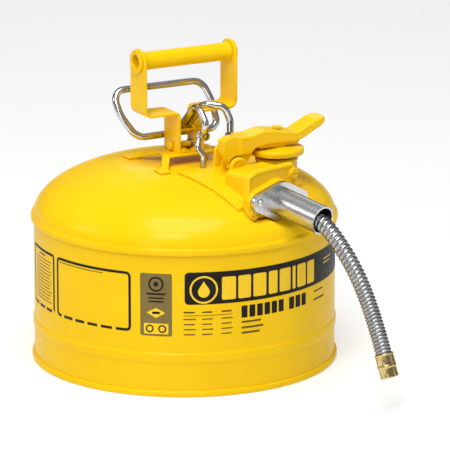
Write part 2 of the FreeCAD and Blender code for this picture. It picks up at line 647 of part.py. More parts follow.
def make_vent_valve_disc():
    return rod(6.0, Vector(VENT_X, VENT_Y, 169.5), EZ, 2.5)


def make_vent_spring():
    coil = helix_spring(4.2, 0.6, 2.1, 5)
    coil.translate(Vector(VENT_X, VENT_Y, 214.8))
    return coil


# ---------------------------------------------------------------- lid

def make_lid_lever():
    """Hub, block, arm and upswept thumb tab in one casting."""
    y0, y1 = LEVER_Y
    top = [(31, 231.5), (47, 235), (62, 233), (82, 229.5), (103, 239.5), (112, 241.5), (TAB_X, 240.5),
           (TAB_X, 237), (108, 233), (88, 222.5), (80, 221), (50, 221.5), (36, 219)]
    block = [(2.5, 228.5), (8, 231.5)] + top + [(30, 208), (HINGE_X + 6.5, HINGE_Z),
                                                (HINGE_X - 6.5, HINGE_Z), (2.5, 216)]
    narrow = prism([Vector(x, y0, z) for x, z in block], EY * (y1 - y0))
    wide = prism([Vector(x, ARM_Y[0], z) for x, z in [(20, 231.5)] + top + [(31, 214), (20, 214)]],
                 EY * (ARM_Y[1] - ARM_Y[0]))
    hub = rod(6.5, Vector(HINGE_X, y0, HINGE_Z), EY, y1 - y0)
    lever = fuse([narrow, wide, hub])
    # the thumb tab's two end corners are round
    for y, way in ((ARM_Y[0], 1), (ARM_Y[1], -1)):
        y_in, y_out = sorted((y + way * TAB_ROUND, y - way))
        corner = box(TAB_X - TAB_ROUND, TAB_X + 1, y_in, y_out, 220, 245)
        keep = rod(TAB_ROUND, Vector(TAB_X - TAB_ROUND, y + way * TAB_ROUND, 215), EZ, 40)
        lever = lever.cut(corner.cut(keep))
    # room for the torsion spring in the front half of the hub
    lever = lever.cut(rod(9.6, Vector(HINGE_X, ARM_Y[0] - 1, HINGE_Z), EY, -68.6 - ARM_Y[0] + 1))
    lever = lever.cut(rod(HINGE_PIN_R + 0.06, Vector(HINGE_X, -90, HINGE_Z), EY, 50))
    lever = lever.cut(rod(PIN_HOLE_R, Vector(PIN_HOLE_X, LID_Y, 229), EZ, 10))
    return lever.cut(rod(3.02, Vector(LID_X, LID_Y, 215), EZ, 30))


def make_lid_disc():
    rim_z = LID_Z
    outline = [(0, rim_z), (LID_R - 1.2, rim_z), (LID_R, rim_z + 1.2), (LID_R, rim_z + 2.6),
               (LID_R - 3, rim_z + 4.0), (9, rim_z + 5.4), (9, rim_z + 8.2), (0, rim_z + 8.2)]
    disc = revolved(outline)
    disc.translate(Vector(LID_X, LID_Y, 0))
    return disc.cut(rod(3.02, Vector(LID_X, LID_Y, 200), EZ, 30))


def make_lid_stud():
    """The rivet that lets the disc seat itself squarely under the arm."""
    shank = rod(3.0, Vector(LID_X, LID_Y, LID_Z), EZ, 233.6 - LID_Z)
    head = rod(5.0, Vector(LID_X, LID_Y, 233.6), EZ, 1.4)
    foot = rod(6.0, Vector(LID_X, LID_Y, LID_Z - 1.4), EZ, 1.4)
    collar = rod(5.2, Vector(LID_X, LID_Y, LID_Z + 8.2), EZ, 221.1 - LID_Z - 8.2)
    return fuse([shank, head, foot, collar])


def make_lid_gasket():
    return ring(NECK_R + 1.0, NECK_BORE_R - 1.0, Vector(LID_X, LID_Y, LID_Z - 2.2), EZ, 2.2)


def make_lid_hinge_pin():
    front, rear = FRONT_LUG_Y[0], REAR_LUG_Y[1]
    pin = rod(HINGE_PIN_R, Vector(HINGE_X, front - 0.5, HINGE_Z), EY, rear - front + 0.5)
    head = rod(3.8, Vector(HINGE_X, front - 1.2, HINGE_Z), EY, 1.2)
    return fuse([pin, head])


def make_lid_spring():
    coil = helix_spring(7.3, 0.9, 2.0, 2.5)
    return in_frame(coil, Vector(HINGE_X, -69.7, HINGE_Z), EX, EZ, -EY)


def make_flame_arrester():
    """A closed metal-mesh basket that hangs in the fill neck."""
    seat = Vector(LID_X, LID_Y, 197.6)
    flange = ring(NECK_BORE_R - 0.2, 13.9, seat, EZ, 1.2)
    tube = ring(14.8, 13.9, Vector(LID_X, LID_Y, 72), EZ, 197.6 - 72)
    floor = rod(14.8, Vector(LID_X, LID_Y, 71), EZ, 1.0)
    return fuse([flange, tube, floor])


# ---------------------------------------------------------------- spout and hose

def make_spout_gasket():
    gasket = flange_outline(-0.5, 0.8)
    gasket = gasket.cut(Part.makeCylinder(10.5, 5, Vector(0, 0, -1)))
    for side in (-1, 1):
        gasket = gasket.cut(rod(BOLT_R + 0.3, ear_centre(side, -1), EZ, 5))
    return on_spout(gasket)


def make_spout_tube():
    """Two-bolt flange and the straight tube that shrouds the start of the hose."""
    flange = flange_outline(0, FLANGE_T)
    flange.translate(Vector(0, 0, SPOUT_SEAT))
    tube = Part.makeCylinder(TUBE_R, TUBE_LENGTH - SPOUT_SEAT, Vector(0, 0, SPOUT_SEAT))
    body = fuse([flange, tube])
    body = body.cut(Part.makeCylinder(TUBE_BORE_R, 80, Vector(0, 0, 4)))
    body = body.cut(Part.makeCylinder(9.0, 10, Vector(0, 0, -1)))
    for side in (-1, 1):
        body = body.cut(rod(BOLT_R + 0.02, ear_centre(side, -5), EZ, 20))
    return on_spout(body)


def make_spout_screws():
    screws = []
    for side in (-1, 1):
        seat = SPOUT_SEAT + FLANGE_T
        shank = rod(BOLT_R, ear_centre(side, -3.4), EZ, seat + 3.4)
        head = rod(4.4, ear_centre(side, seat), EZ, 2.8)
        slot = box(-5, 5, -0.6, 0.6, seat + 1.4, seat + 4)
        slot.translate(ear_centre(side, 0))
        screws.append(on_spout(fuse([shank, head]).cut(slot)))
    return Part.Compound(screws)


def make_hose_collar():
    """The ring that grips the hose inside the spout tube."""
    collar = Part.makeCylinder(TUBE_BORE_R - 0.05, 10, Vector(0, 0, 4.0))
    collar = collar.cut(Part.makeCylinder(6.5, 30, Vector(0, 0, 0)))
    collar = collar.cut(Part.makeCylinder(HOSE_R + 0.1, 30, Vector(0, 0, HOSE_START)))
    return on_spout(collar)


def hose_point(reach, z):
    return Vector(SPOUT_X, SPOUT_Y, 0) + PLAN_DIR * reach + EZ * z


# the hose leaves along the spout axis, droops and then hangs almost straight
HOSE_POINTS = [SPOUT + SPOUT_DIR * HOSE_START, SPOUT + SPOUT_DIR * 33.0]
HOSE_POINTS += [hose_point(reach, z) for reach, z in HOSE_ROUTE]
HOSE_END_RUN = HOSE_POINTS[-1] - HOSE_POINTS[-2]


def make_hose():
    path = bent_path(HOSE_POINTS, largest_radii(HOSE_POINTS))
    start = HOSE_POINTS[0]
    return swept(path, HOSE_R, start, HOSE_POINTS[1] - HOSE_POINTS[0])


def make_brass_nozzle():
    """Crimped brass tip: a sleeve over the hose end and a turned outlet."""
    along = Vector(HOSE_END_RUN).normalize()
    foot = HOSE_POINTS[-1] - along * NOZZLE_GRIP
    sleeve = rod(9.1, foot, along, NOZZLE_SLEEVE)
    outlet = rod(8.6, foot, along, NOZZLE_LENGTH)
    nozzle = fuse([sleeve, outlet])
    nozzle = nozzle.cut(rod(HOSE_R + 0.1, foot - along, along, NOZZLE_GRIP + 1.0))
    return nozzle.cut(rod(6.4, foot, along, NOZZLE_LENGTH + 5))


# ---------------------------------------------------------------- all nodes

MAKERS = {
    "body_shell": make_body_shell,
    "bottom_panel": make_bottom_panel,
    "dome_top": make_dome_top,
    "handle_bracket": make_handle_bracket,
    "handle_strap_left": lambda: make_strap(-1),
    "handle_strap_right": lambda: make_strap(1),
    "grip_tube": make_grip_tube,
    "bracket_rivets": make_bracket_rivets,
    "trigger_pivot_pin": make_trigger_pivot_pin,
    "trigger_yoke": make_trigger_yoke,
    "trigger_wire": make_trigger_wire,
    "trigger_spring": make_trigger_spring,
    "manifold_gasket": make_manifold_gasket,
    "manifold_casting": make_manifold_casting,
    "front_cover": make_front_cover,
    "cover_screws": make_cover_screws,
    "pour_valve_stem": make_pour_valve_stem,
    "pour_valve_link": make_valve_link,
    "pour_valve_disc": make_pour_valve_disc,
    "pour_valve_seal": make_pour_valve_seal,
    "pour_valve_body": make_pour_valve_body,
    "pour_valve_spring": make_pour_valve_spring,
    "vent_plunger": make_vent_plunger,
    "vent_valve_disc": make_vent_valve_disc,
    "vent_spring": make_vent_spring,
    "lid_lever": make_lid_lever,
    "lid_disc": make_lid_disc,
    "lid_stud": make_lid_stud,
    "lid_gasket": make_lid_gasket,
    "lid_hinge_pin": make_lid_hinge_pin,
    "lid_spring": make_lid_spring,
    "flame_arrester": make_flame_arrester,
    "spout_gasket": make_spout_gasket,
    "spout_tube": make_spout_tube,
    "spout_screws": make_spout_screws,
    "hose_collar": make_hose_collar,
    "hose": make_hose,
    "brass_nozzle": make_brass_nozzle,
}


def main():
    os.makedirs("parts", exist_ok=True)
    for name, make in MAKERS.items():
        shape = make()
        shape.exportStep(os.path.join("parts", name + ".step"))
        size = shape.BoundBox
        print("%-20s solids %d volume %9.0f  z %.1f..%.1f valid %s" % (
            name, len(shape.Solids), shape.Volume, size.ZMin, size.ZMax, shape.isValid()))
    path = bent_path(HOSE_POINTS, largest_radii(HOSE_POINTS))
    hose = make_hose()
    print("hose length %.1f, volume ratio %.4f" % (
        path.Length, hose.Volume / (math.pi * HOSE_R ** 2 * path.Length)))
    print("hose radii", [round(radius, 1) for radius in largest_radii(HOSE_POINTS)])
    along = Vector(HOSE_END_RUN).normalize()
    tip = HOSE_POINTS[-1] + along * (NOZZLE_LENGTH - NOZZLE_GRIP)
    print("nozzle tip", tip, "direction", along)


main()
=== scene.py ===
import json
import math

import bmesh
import bpy
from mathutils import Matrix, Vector


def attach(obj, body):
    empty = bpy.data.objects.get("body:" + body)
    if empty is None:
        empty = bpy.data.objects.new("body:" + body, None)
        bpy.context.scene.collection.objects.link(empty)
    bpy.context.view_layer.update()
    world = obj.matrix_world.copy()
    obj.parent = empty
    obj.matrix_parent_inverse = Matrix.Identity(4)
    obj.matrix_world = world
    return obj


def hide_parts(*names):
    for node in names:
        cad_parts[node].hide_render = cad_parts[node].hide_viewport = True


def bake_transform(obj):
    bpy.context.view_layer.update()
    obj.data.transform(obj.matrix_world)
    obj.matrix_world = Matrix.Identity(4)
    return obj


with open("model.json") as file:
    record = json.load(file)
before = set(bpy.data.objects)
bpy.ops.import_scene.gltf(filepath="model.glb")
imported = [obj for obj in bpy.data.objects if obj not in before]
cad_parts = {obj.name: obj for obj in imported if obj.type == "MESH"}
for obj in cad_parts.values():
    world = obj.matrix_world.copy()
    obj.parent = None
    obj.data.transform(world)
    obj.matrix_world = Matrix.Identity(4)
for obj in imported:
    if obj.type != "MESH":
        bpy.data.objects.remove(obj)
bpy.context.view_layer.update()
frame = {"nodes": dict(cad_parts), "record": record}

MM = 0.001

# the can, mm
WALL = 146.6              # outer radius of the drawn steel wall
WALL_TOP = 143.3
SHEET = 1.0
RIB_Z = 38                # middle of the rolled rib
RIB_OUT = 1.2
RIB_HALF = 5.9            # half its height
RIB_FLANK = 2.6           # height of each sloping side
SEAM_MIDDLE = 146.65      # the lower seam's section, an oval cut off inside
SEAM_OUT = 2.55
SEAM_HALF = 3.2
BASE_Z = 5.0              # underside of the recessed floor

# the print, metres
CAN_R = 0.1466            # the wall again
LABEL_R = CAN_R + 0.00014
INK_STEP = 0.00006        # each layer of print lies this much further out
ARC = math.radians(1) * CAN_R / MM             # mm round the wall for one degree

# the hose's route, metres, from inside the spout tube to the end of its last ring
HOSE_ROUTE = [
    (0.03726, -0.12927, 0.17751), (0.0443, -0.15291, 0.17347), (0.05214, -0.1792, 0.1677),
    (0.05843, -0.20028, 0.15), (0.064, -0.21897, 0.1285), (0.06814, -0.23287, 0.106),
    (0.07143, -0.24389, 0.082), (0.07394, -0.25232, 0.0615), (0.07591, -0.25893, 0.043)]
HOSE_R = 0.008
HOSE_STEP = 0.0003        # distance between rings of the wound strip
PITCH = 0.0048            # one turn of the strip at the spout
PITCH_LOSS = 0.0015       # how much shorter a turn is near the tip
LOSS_FROM = 0.42          # share of the length at which the turns start to close up
LOSS_OVER = 0.3           # share of the length over which they do
CROWN_SHARE = 0.76        # part of each turn that is crown, the rest is groove
CROWN_RISE = 0.0009
GROOVE_R = HOSE_R - 0.00095
GROOVE_DIP = 0.00025
NOZZLE_GRIP = 0.013       # hose inside the brass sleeve
SPOUT_DIR = Vector((0.281933, -0.945726, -0.161604))
SPOUT_SEAT = Vector((0.035, -0.1217, 0.1788))
PLAN_WAY = Vector((0.28569, -0.95832, 0))      # along the spout in plan
PLAN_SIDE = Vector((0.95832, 0.28569, 0))      # across it

# places on the castings, mm
LID = (65.3, -66)
HINGE_X, HINGE_Z = 17.1, 203.2
POUR = (-4, -46)
VENT = (25.5, -46)
LEVER_PIN_X = 49.0
COVER_SCREWS = ((-31.0, 168.4), (23.6, 199.6))
FLANGE_EAR = 28.5
FLANGE_TWIST = -6.7       # degrees

# the camera
BEARING, RISE = 28.2, 15.182
CAMERA_DISTANCE = 4.1367
CAMERA_LENS = 340.07
AIM_Z = 0.12
SHIFT_RIGHT, SHIFT_UP = 0.0395, 0.00905


# ---------------------------------------------------------------- camera and cord

def new_object(name, data):
    thing = bpy.data.objects.new(name, data)
    bpy.context.scene.collection.objects.link(thing)
    return thing


def look(location, target):
    return (Vector(target) - Vector(location)).to_track_quat("-Z", "Y").to_euler()


def add_camera():
    bearing, rise = math.radians(BEARING), math.radians(RISE)
    level = math.cos(rise)
    away = Vector((-level * math.sin(bearing), -level * math.cos(bearing), math.sin(rise)))
    right = Vector((math.cos(bearing), -math.sin(bearing), 0))
    up = away.cross(right)
    centre = Vector((0, 0, AIM_Z))
    data = bpy.data.cameras.new("camera")
    camera = new_object("camera", data)
    data.lens = CAMERA_LENS
    data.sensor_width = 36
    data.clip_end = 100
    camera.location = centre + away * CAMERA_DISTANCE
    camera.rotation_euler = look(camera.location, centre + right * SHIFT_RIGHT + up * SHIFT_UP)
    bpy.context.scene.camera = camera


def route_line(points):
    """Points along the smooth spline that has these control points."""
    data = bpy.data.curves.new("route", "CURVE")
    data.dimensions = "3D"
    spline = data.splines.new("NURBS")
    spline.points.add(len(points) - 1)
    for control, point in zip(spline.points, points):
        control.co = (*point, 1)
    spline.order_u = 3
    spline.use_endpoint_u = True
    spline.resolution_u = 40
    holder = new_object("route", data)
    bpy.context.view_layer.update()
    mesh = bpy.data.meshes.new_from_object(holder)
    line = [v.co.copy() for v in mesh.vertices]
    bpy.data.objects.remove(holder)
    bpy.data.meshes.remove(mesh)
    return line


def walk(line, step):
    """The same line with points a fixed step apart, and its directions."""
    points, carry = [line[0].copy()], 0.0
    for a, b in zip(line, line[1:]):
        span = (b - a).length
        along = step - carry
        while along < span:
            points.append(a.lerp(b, along / span))
            along += step
        carry = span - (along - step)
    if (points[-1] - line[-1]).length > step * 0.3:
        points.append(line[-1].copy())
    ways = []
    for i in range(len(points)):
        ways.append((points[min(i + 1, len(points) - 1)] - points[max(i - 1, 0)]).normalized())
    return points, ways


def new_mesh(name, verts, faces, smooth=True, angle=None):
    mesh = bpy.data.meshes.new(name)
    mesh.from_pydata([tuple(v) for v in verts], [], faces)
    mesh.update()
    piece = new_object(name, mesh)
    if smooth:
        mesh.polygons.foreach_set("use_smooth", [True] * len(mesh.polygons))
    if angle is not None:
        mesh.set_sharp_from_angle(angle=math.radians(angle))
    return piece


def axes_across(way):
    """Two directions at right angles to a unit vector and to each other."""
    side = way.orthogonal().normalized()
    return side, way.cross(side)


def tube_along(name, points, ways, radius, sides):
    """A closed tube; radius(i, turn) gives each ring's radius at a turn from 0 to 1."""
    side = ways[0].orthogonal().normalized()
    verts, faces = [], []
    for i, (point, way) in enumerate(zip(points, ways)):
        side = (side - way * side.dot(way)).normalized()
        other = way.cross(side)
        for k in range(sides):
            turn = k / sides
            around = side * math.cos(2 * math.pi * turn) + other * math.sin(2 * math.pi * turn)
            verts.append(point + around * radius(i, turn))
    for i in range(len(points) - 1):
        for k in range(sides):
            n = (k + 1) % sides
            faces.append((i * sides + k, i * sides + n, (i + 1) * sides + n, (i + 1) * sides + k))
    faces.append(tuple(reversed(range(sides))))
    last = (len(points) - 1) * sides
    faces.append(tuple(range(last, last + sides)))
    return new_mesh(name, verts, faces)


def add_hose():
    """Interlocked strip wound in a helix: a round crown and a deep groove each turn."""
    line = route_line(HOSE_ROUTE)
    points, ways = walk(line, HOSE_STEP)
    turns, wound = [], 0.0
    for i in range(len(points)):
        share = min(1.0, max(0.0, (i / len(points) - LOSS_FROM) / LOSS_OVER))
        wound += HOSE_STEP / (PITCH - PITCH_LOSS * share)
        turns.append(wound)

    def radius(i, turn):
        phase = (turns[i] - turn) % 1.0
        if phase < CROWN_SHARE:
            return GROOVE_R + CROWN_RISE * math.sin(math.pi * phase / CROWN_SHARE) ** 0.5
        return GROOVE_R - GROOVE_DIP * math.sin(math.pi * (phase - CROWN_SHARE) / (1 - CROWN_SHARE))

    hose = tube_along("hose_interlocked", points, ways, radius, 48)
    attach(hose, "can")
    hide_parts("hose")
    return hose, points


def revolve_along(name, foot, way, profile, sides, shape=None, angle=35):
    """A lathe piece about an axis; profile is (distance along, radius) in metres."""
    side, other = axes_across(way)
    verts, faces = [], []
    for along, r in profile:
        for k in range(sides):
            a = 2 * math.pi * k / sides
            reach = r if shape is None else shape(along, a, r)
            verts.append(foot + way * along + (side * math.cos(a) + other * math.sin(a)) * reach)
    rows = len(profile)
    for i in range(rows):
        j = (i + 1) % rows
        for k in range(sides):
            n = (k + 1) % sides
            faces.append((i * sides + k, i * sides + n, j * sides + n, j * sides + k))
    return new_mesh(name, verts, faces, angle=angle)


def add_nozzle():
    """Brass sleeve crimped over the hose, then a turned outlet with a rounded lip."""
    end, before = Vector(HOSE_ROUTE[-1]), Vector(HOSE_ROUTE[-2])
    way = (end - before).normalized()
    foot = end - way * NOZZLE_GRIP
    profile = [(0.0, 8.2), (0.0, 8.9), (0.3, 9.1), (1.1, 9.1), (1.6, 8.75), (2.2, 8.7), (4, 8.72), (6, 8.75),
               (8, 8.75), (10, 8.75), (10.8, 8.8), (11.2, 9.05), (12.2, 9.1), (12.6, 8.85), (12.9, 8.6),
               (14, 8.5), (16, 8.45), (18, 8.45), (20.4, 8.45), (21.4, 8.6), (22.4, 8.6), (22.9, 8.35),
               (23.0, 7.8), (22.8, 7.1), (22.2, 6.6), (20, 6.4), (17, 6.4), (14.2, 6.4), (13.6, 6.4),
               (13.6, 8.2)]
    profile = [(along * MM, r * MM) for along, r in profile]

    def crimped(along, a, r):
        if r > 0.0083 and 0.002 < along < 0.0105:
            dent = math.exp(-((along - 0.0066) / 0.0020) ** 2)
            return r - 0.00055 * dent * max(0.0, math.cos(3 * a + 0.6)) ** 4
        return r

    nozzle = revolve_along("nozzle_crimped", foot, way, profile, 72, crimped)
    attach(nozzle, "can")
    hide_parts("brass_nozzle")
    return nozzle


# ---------------------------------------------------------------- sheet metal and castings

def copy_of(node, name, body):
    """A new piece with the CAD node's own shape, to be reworked in place of it."""
    piece = new_object(name, frame["nodes"][node].data.copy())
    piece.matrix_world = frame["nodes"][node].matrix_world.copy()
    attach(piece, body)
    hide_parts(node)
    return piece


def bake_modifiers(piece):
    bpy.context.view_layer.update()
    shaped = piece.evaluated_get(bpy.context.evaluated_depsgraph_get())
    mesh = bpy.data.meshes.new_from_object(shaped)
    piece.modifiers.clear()
    piece.data = mesh
    mesh.polygons.foreach_set("use_smooth", [True] * len(mesh.polygons))


def soften(node, name, body, voxel, rounds, extras=()):
    """Rounds every edge of a CAD node and blends extra bodies into it, as a casting or paint does."""
    piece = copy_of(node, name, body)
    whole = bmesh.new()
    whole.from_mesh(piece.data)
    for extra in extras:
        whole.from_mesh(extra)
    bmesh.ops.triangulate(whole, faces=whole.faces[:])
    whole.to_mesh(piece.data)
    whole.free()
    remesh = piece.modifiers.new("remesh", "REMESH")
    remesh.mode = "VOXEL"
    remesh.voxel_size = voxel * MM
    remesh.use_smooth_shade = True
    smooth = piece.modifiers.new("smooth", "SMOOTH")
    smooth.factor = 0.5
    smooth.iterations = rounds
    bake_modifiers(piece)
    return piece


def bare_mesh(verts, faces):
    mesh = bpy.data.meshes.new("part")
    mesh.from_pydata([tuple(v) for v in verts], [], faces)
    return mesh


def bead(points, radius, sides=10, closed=False):
    """Round bars from corner to corner, in metres, each run a little past its ends so that they meet."""
    points = [Vector(p) for p in points]
    verts, faces = [], []
    pairs = list(zip(points, points[1:] + points[:1])) if closed else list(zip(points, points[1:]))
    for start, end in pairs:
        way = (end - start).normalized()
        side, other = axes_across(way)
        first = len(verts)
        for foot in (start - way * radius * 0.4, end + way * radius * 0.4):
            for k in range(sides):
                a = 2 * math.pi * k / sides
                verts.append(foot + (side * math.cos(a) + other * math.sin(a)) * radius)
        for k in range(sides):
            n = (k + 1) % sides
            faces.append((first + k, first + n, first + sides + n, first + sides + k))
        faces.append(tuple(first + k for k in reversed(range(sides))))
        faces.append(tuple(first + sides + k for k in range(sides)))
    return bare_mesh(verts, faces)


def hoop(centre, normal, radius, thick, sides=36):
    """A closed bead round a circle."""
    side, other = axes_across(Vector(normal).normalized())
    points = []
    for k in range(sides):
        a = 2 * math.pi * k / sides
        points.append(Vector(centre) + (side * math.cos(a) + other * math.sin(a)) * radius)
    return bead(points, thick, 8, closed=True)


def drum(foot, way, radius, length, sides=32):
    """A short round bar."""
    foot, way = Vector(foot), Vector(way).normalized()
    side, other = axes_across(way)
    verts = []
    for along in (0, length):
        for k in range(sides):
            a = 2 * math.pi * k / sides
            verts.append(foot + way * along + (side * math.cos(a) + other * math.sin(a)) * radius)
    faces = [(k, (k + 1) % sides, sides + (k + 1) % sides, sides + k) for k in range(sides)]
    faces += [tuple(reversed(range(sides))), tuple(range(sides, 2 * sides))]
    return bare_mesh(verts, faces)


def slab(corners, way):
    """A flat plate from its corners and its thickness as a vector."""
    corners = [Vector(c) for c in corners]
    count = len(corners)
    verts = corners + [c + Vector(way) for c in corners]
    faces = [tuple(reversed(range(count))), tuple(range(count, 2 * count))]
    faces += [(k, (k + 1) % count, count + (k + 1) % count, count + k) for k in range(count)]
    mesh = bare_mesh(verts, faces)
    solid = bmesh.new()
    solid.from_mesh(mesh)
    bmesh.ops.recalc_face_normals(solid, faces=solid.faces[:])
    solid.to_mesh(mesh)
    solid.free()
    return mesh


def mm(*values):
    return Vector(values) * MM


def on_plan(s, t, z):
    """A point beside the spout: s across it, t along it in plan, z its height, all in mm."""
    return mm(SPOUT_SEAT.x / MM + PLAN_SIDE.x * s + PLAN_WAY.x * t,
              SPOUT_SEAT.y / MM + PLAN_SIDE.y * s + PLAN_WAY.y * t, z)


def turned(name, profile, body, node, sides, centre=(0, 0), angle=40):
    """A lathe piece about a vertical axis, from (radius, height) in mm, in place of a CAD node."""
    foot = Vector((centre[0] * MM, centre[1] * MM, 0))
    outline = [(z * MM, r * MM) for r, z in profile]
    piece = revolve_along(name, foot, Vector((0, 0, 1)), outline, sides, angle=angle)
    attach(piece, body)
    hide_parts(node)
    return piece


def add_can_body():
    """The wall with its soft rib, and the recessed floor with the lower seam rolled round it."""
    outside = [(WALL, 1.2), (WALL, 8)]
    outside += [(WALL, z) for z in range(12, 31, 3)]
    for step in range(31):
        z = 31.0 + 14.0 * step / 30
        rise = min(1.0, max(0.0, (RIB_HALF - abs(z - RIB_Z)) / RIB_FLANK))
        outside.append((WALL + RIB_OUT * rise * rise * (3 - 2 * rise), z))
    outside += [(WALL, z) for z in range(50, 137, 6)] + [(WALL, WALL_TOP)]
    inside = [(r - SHEET, z) for r, z in reversed(outside)]
    wall = turned("can_wall", outside + inside, "can", "body_shell", sides=256, angle=60)
    seam = []
    for k in range(13):
        a = math.radians(-90 + 15 * k)
        out = SEAM_OUT * max(0.0, math.cos(a)) ** 0.6
        seam.append((SEAM_MIDDLE + out, SEAM_HALF + SEAM_HALF * math.sin(a)))
    web = [(145.4, 6.4), (145.4, 6.0), (0.5, 6.0), (0.5, BASE_Z), (144.5, BASE_Z), (144.5, 0.0)]
    base = turned("can_base", seam + web, "can", "bottom_panel", sides=256, angle=60)
    return [wall, base]


def add_dome():
    """The drawn top with its rolled seam rounded over."""
    seam_inside, seam_top, corner = 0.1480, 0.1449, math.radians(25)
    dome = copy_of("dome_top", "can_dome", "can")
    shape = bmesh.new()
    shape.from_mesh(dome.data)
    bmesh.ops.remove_doubles(shape, verts=shape.verts[:], dist=0.000005)
    weight = shape.edges.layers.float.new("bevel_weight_edge")
    for edge in shape.edges:
        if len(edge.link_faces) != 2 or edge.calc_face_angle(0.0) < corner:
            continue
        if all(v.co.xy.length > seam_inside and v.co.z < seam_top for v in edge.verts):
            edge[weight] = 1.0
    shape.to_mesh(dome.data)
    shape.free()
    bevel = dome.modifiers.new("roll", "BEVEL")
    bevel.limit_method = "WEIGHT"
    bevel.width = 0.8 * MM
    bevel.segments = 4
    dome.data.polygons.foreach_set("use_smooth", [True] * len(dome.data.polygons))
    dome.data.set_sharp_from_angle(angle=math.radians(38))
    return dome


def add_handle():
    """Straps, flared grip and bracket, with the bends of pressed and painted sheet."""
    pieces = []
    for side in ("left", "right"):
        pieces.append(soften("handle_strap_" + side, "handle_strip_" + side, "can",
                             voxel=0.5, rounds=4))
    pieces.append(soften("grip_tube", "grip_flared", "can", voxel=0.45, rounds=3))
    bosses = []
    for x in (-1, 1):
        for y in (-1, 1):
            bosses.append(hoop(mm(41 * x, 33 * y, 196.4), (0, 0, 1), 3.4 * MM, 0.9 * MM, 20))
            # the legs' turned-down edges and the swell where the sheet meets the pad
            bosses.append(bead([mm(26 * x, 16 * y, 203.2), mm(38.5 * x, 37 * y, 197)], 1.5 * MM))
            bosses.append(bead([mm(26 * x, 6 * y, 203.2), mm(38.5 * x, 28 * y, 197)], 1.5 * MM))
            toe = [mm(37 * x, 40 * y, 195.9), mm(46 * x, 40 * y, 195.9), mm(46 * x, 26 * y, 195.9)]
            bosses.append(bead(toe, 1.3 * MM))
    pieces.append(soften("handle_bracket", "handle_bracket_pressed", "can",
                         voxel=0.6, rounds=6, extras=bosses))
    return pieces


def add_springs():
    """The valves' return springs, copied in place from the CAD nodes; nothing here shortens them as the
    valves go down.
    """
    pieces = []
    for node, name, valve in (("pour_valve_spring", "pour_valve_coils", "pour_valve"),
                              ("vent_spring", "vent_coils", "vent_valve")):
        piece = new_object(name, frame["nodes"][node].data.copy())
        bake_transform(piece)
        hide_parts(node)
        pieces.append(piece)
    return pieces


def add_lever_pin():
    """A near-black roll pin set in the top of the lever's arm."""
    pin = [(0.2, 229.6), (1.9, 229.6), (1.9, 232.9), (1.6, 233.2), (1.0, 233.2), (0.8, 231.8), (0.2, 231.8)]
    outline = [(z * MM, r * MM) for r, z in pin]
    foot = Vector((LEVER_PIN_X * MM, LID[1] * MM, 0))
    piece = revolve_along("lever_roll_pin", foot, Vector((0, 0, 1)), outline, 24, angle=40)
    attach(piece, "lid")
    return piece


def on_spout(across, up, out):
    """A point in the spout's own frame, in mm from the centre of its flange seat."""
    return SPOUT_SEAT + (PLAN_SIDE * across + SPOUT_DIR.cross(PLAN_SIDE) * up + SPOUT_DIR * out) * MM


def add_spout_screws():
    """Pan heads with a washer face and a cross recess, seated on the flange's ears."""
    profile = [(0.0, 0.1), (0.0, 4.35), (0.25, 4.4), (0.55, 4.3), (0.6, 3.7), (1.6, 3.6), (2.2, 3.3),
               (2.6, 2.7), (2.8, 1.9), (2.8, 1.1), (1.9, 0.9), (1.7, 0.1)]
    profile = [(along * MM, r * MM) for along, r in profile]

    def recess(along, a, r):
        if along > 0.0025 and 0.0006 < r < 0.0025:
            return r * (0.55 + 0.75 * abs(math.cos(2 * a)) ** 3)
        return r

    both = bmesh.new()
    twist = math.radians(FLANGE_TWIST)
    for side in (-1, 1):
        across, up = side * FLANGE_EAR * math.cos(twist), side * FLANGE_EAR * math.sin(twist)
        head = revolve_along("head", on_spout(across, up, 4.8), SPOUT_DIR, profile, 48, recess)
        both.from_mesh(head.data)
        both.from_mesh(drum(on_spout(across, up, -2.6), SPOUT_DIR, 2.5 * MM, 7.6 * MM))
        bpy.data.objects.remove(head)
    mesh = bpy.data.meshes.new("spout_screws_pan")
    both.to_mesh(mesh)
    both.free()
    mesh.set_sharp_from_angle(angle=math.radians(35))
    piece = new_object("spout_screws_pan", mesh)
    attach(piece, "can")
    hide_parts("spout_screws")
    return piece


